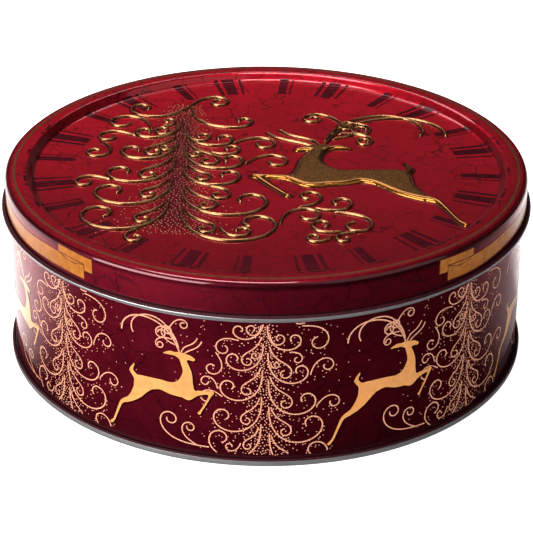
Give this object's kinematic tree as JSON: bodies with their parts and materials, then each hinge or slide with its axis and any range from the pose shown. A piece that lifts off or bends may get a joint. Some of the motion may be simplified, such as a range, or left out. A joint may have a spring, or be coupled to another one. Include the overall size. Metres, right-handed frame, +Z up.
{
  "type": "round tin box",
  "caption": "Round tinplate biscuit tin: a slip-over lid with a rolled edge and a recessed embossed panel, on a seamed can body with a rolled mouth.",
  "frame": {"origin": "centre of the circle on which the bottom seam stands", "axes": "+Z up through the lid, -Y towards the front, the side seam of the wall at the back (+Y)"},
  "size_m": [0.1996, 0.1996, 0.0717],
  "materials": {
    "lid_print": "gloss lacquer over a bright red crackle print on tinplate",
    "wall_print": "gloss lacquer over a dark burgundy print on tinplate",
    "bare_tinplate": "bright bare tinplate, on the rolled edges, the seam and the base",
    "inner_lacquer": "tinplate under a thin pale gold lacquer, inside of the lid, wall and floor",
    "gold_relief": "old-gold metallic ink on the embossed scrolls and deer",
    "gold_line": "dull brown-gold printed ring lines and dots on the lid",
    "dial_marks": "dark maroon printed strokes round the lid panel",
    "wall_motif": "pale peach-gold printed scrolls, deer and dots",
    "ribbon": "printed gold ribbon on the lid skirt, left blank",
    "ribbon_line": "dark printed outline of the ribbon folds"
  },
  "bodies": {
    "tin": {"body_wall": "wall_print", "bottom_end": "bare_tinplate"},
    "lid": {"lid": "lid_print"}
  },
  "joints": [
    {"name": "lid_lift", "type": "slide", "parent": "tin", "child": "lid", "axis": [0, 0, 1], "range_m": [0, 0.12]}
  ]
}
